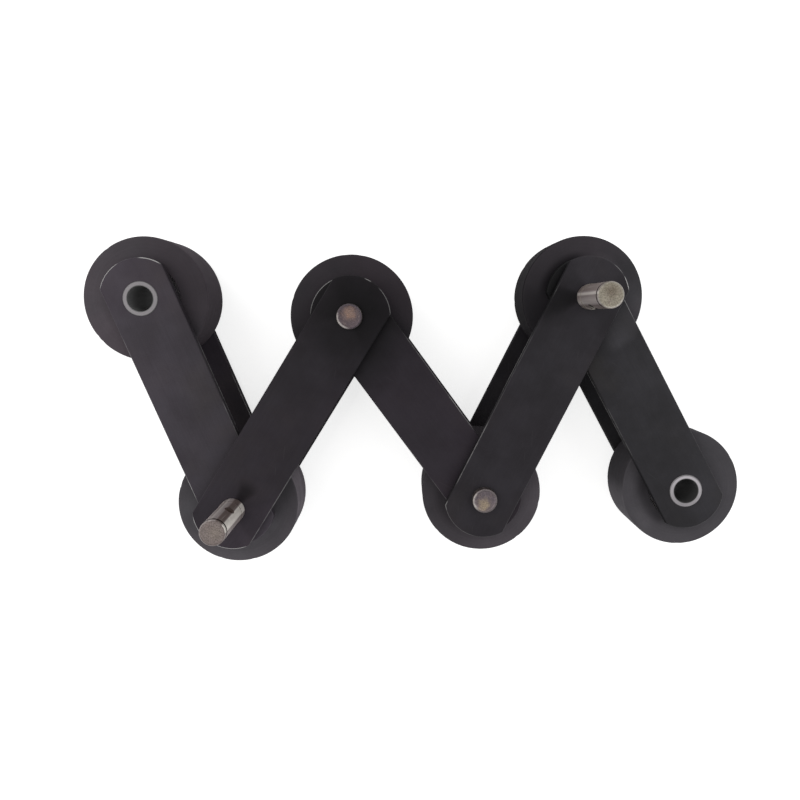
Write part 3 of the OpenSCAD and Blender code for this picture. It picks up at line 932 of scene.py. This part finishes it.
# step pin: painted highlights down the side, as direction, half width and strength
STEP_PIN_HIGHLIGHTS = {2: [(20, 19, 0.95), (100, 5, 0.3)], 5: [(170, 5, 0.4), (205, 10, 0.15)]}
STEP_PIN_HOLE = {2: (LINK_ANGLE[2], colour(78, 64, 58)), 5: (LINK_ANGLE[4], colour(12, 11, 11))}
for k, oiled in RIVETED_OIL.items():
    steel = pin_steel(f"pin_{k}_steel", k, PIN_ENDS[k], oiled)
    paint(frame["nodes"][f"link_pin_{k}"], steel)
    paint(riveted[k], steel)
for k, oiled in STEP_PIN_OIL.items():
    angle, hole_grease = STEP_PIN_HOLE[k]
    hole = (math.degrees(angle), hole_grease)
    steel = pin_steel(f"pin_{k}_steel", k, PIN_ENDS[k], oiled, STEP_PIN_HIGHLIGHTS[k], hole)
    paint(frame["nodes"][f"step_pin_{k}"], steel)
print("pins finished:", len(PIN_ENDS), "pin radius, mm:", round(PIN_R / MM, 3))

# %% [markdown]
# ## Bushes
# The two open bushes show as bright rings round a dark bore. The ring is turned steel with fine
# rings on its end, and the bore is black with old grease, so the finish changes at the bore's
# radius.

# %% The finish of a bush
RING_STEEL = colour(151, 147, 150)
BORE_GREASE_AND_RIM_SHADE = colour(30, 30, 30)
BUSH_R = (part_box("bush_1")[1].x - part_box("bush_1")[0].x) / 2
BORE_R = PIN_R + 0.08 * MM
OFF_CENTRE = 1.6 * MM  # how far the bright ring shifts for an unevenness of 1
BUSH_TONE = {  # joint: painted brightness, direction of a painted highlight, how much, brightness of grease
    1: (0.5, 200, 0.04, 6.5),
    6: (0.94, 80, 0.24, 2.2),
}
COVERED_BUSH_TONE = (0.8, 0, 0.0, 1.0)


def bush_steel(joint):
    """Turned steel outside the bore's radius, dark grease inside it, and painted shade thinly on the
    outer rim. The ring is painted brighter towards one direction as a highlight, and shifted a little
    that way."""
    finish = Finish(f"bush_{joint}", {})
    bright, degrees, more, wet = BUSH_TONE.get(joint, COVERED_BUSH_TONE)
    toward, across, _ = finish.parts(finish.moved(JOINT[joint], math.radians(degrees)))
    radius = (toward * toward + across * across) ** 0.5
    _, _, up = finish.parts(finish.facing)
    end = up.size().rise(0.6, 0.9)
    rings = finish.bands(radius, 2600.0)
    cloud = finish.noise(finish.here, 300.0, 4.0, 0.65)
    cuts = finish.noise(finish.stretched(finish.here, LATHE_LINES), 1.0, 2.0, 0.5)
    bore = radius.fall(BORE_R + 0.05 * MM, BORE_R + 0.6 * MM)
    rim = radius + toward / radius * (more * OFF_CENTRE)
    # painted shade on the outer rim, wider towards one side
    outside = rim.rise(BUSH_R - 0.8 * MM, BUSH_R - 0.05 * MM) * 0.6
    glint = (toward / radius * more + 1) * bright
    steel = finish.dimmed(RING_STEEL, (0.72 + rings * end * 0.25 + cloud * 0.34) * glint)
    steel = finish.blend(bore.either(outside), steel, finish.dimmed(BORE_GREASE_AND_RIM_SHADE, wet))
    finish.wear(steel, 0.42 + cloud * 0.15 + bore * 0.2, 0.85 - bore * 0.85)
    finish.relief(rings * end + cuts * (1 - end), 0.02 * MM, 0.7)
    return finish


for k in JOINT:
    paint(frame["nodes"][f"bush_{k}"], bush_steel(k))
print("bushes finished:", len(JOINT), "bore radius, mm:", round(BORE_R / MM, 3))

# %% [markdown]
# ## Inside the rollers
# The bearing, its seals and the spacers are seen only through the slit beside a plate, or when a
# roller is taken apart. They still get finishes: ground rings, a cage with polished balls, rubber
# seals, black with oil on two rollers and painted pale on the rest as light in the deep opening, and
# plain turned spacers.

# %% Finishes of the inner pieces
GRINDING_LINES = (30.0, 30.0, 3600.0)  # a little wider apart than those of a lathe


def ground_steel(name, steel, dull):
    """Ground steel with a film of oil in clouds and fine lines round it."""
    finish = Finish(name, {})
    cloud = finish.noise(finish.here, 240.0, 4.0, 0.6)
    cuts = finish.noise(finish.stretched(finish.here, GRINDING_LINES), 1.0, 2.0, 0.5)
    oil = cloud.rise(0.45, 0.72) * 0.5
    shade = finish.dimmed(finish.blend(oil, steel, PIN_OIL), 0.85 + cuts * 0.3)
    finish.wear(shade, dull + cloud * 0.15, 0.92 - oil * 0.3)
    finish.relief(cuts, 0.02 * MM, 0.6)
    return finish


def moulded(name, dark, pale, dull):
    """A plain moulding: two close tones in clouds, with a fine grain in relief."""
    finish = Finish(name, {"Specular IOR Level": 0.3})
    cloud = finish.noise(finish.here, 90.0, 4.0, 0.6)
    grain = finish.noise(finish.here, 1400.0, 2.0, 0.6)
    tone = finish.blend((cloud * 0.6 + grain * 0.4).rise(0.35, 0.7), dark, pale)
    finish.wear(tone, dull + cloud * 0.15)
    finish.relief(grain, 0.03 * MM, 0.5)
    return finish


# seals painted pale as light in the hub's deep opening, and seals black with oil
pale_seal_painted_light = moulded("pale_seal_painted_light", colour(138, 134, 137), colour(180, 176, 179), 0.65)
oily_seal = moulded("oily_seal", colour(34, 32, 34), colour(50, 48, 50), 0.65)
ring_steel = ground_steel("ring_steel", colour(178, 178, 180), 0.18)
cage_steel = ground_steel("cage_steel", colour(170, 158, 128), 0.26)
spacer_steel = ground_steel("spacer_steel", colour(150, 150, 152), 0.34)
OILY_SEALS = (3, 5)
ROLLER_INSIDE = {
    "bearing_outer_ring": ring_steel,
    "bearing_inner_ring": ring_steel,
    "balls_and_cage": cage_steel,
}
for k in JOINT:
    paint(frame["nodes"][f"roller_{k}_seals"], oily_seal if k in OILY_SEALS else pale_seal_painted_light)
    for piece, finish in ROLLER_INSIDE.items():
        paint(frame["nodes"][f"roller_{k}_{piece}"], finish)
for n in (1, 3, 5):
    paint(frame["nodes"][f"link_{n}_spacers"], spacer_steel)
print("inner pieces finished:", 4 * len(JOINT) + 3)

# %% [markdown]
# ## Finish
# The view transform is set to Standard, so that colours come out as written. The box of the dressed
# model must stay inside the box of the imported one.

# %% Set the view transform
scene.view_settings.view_transform = "Standard"
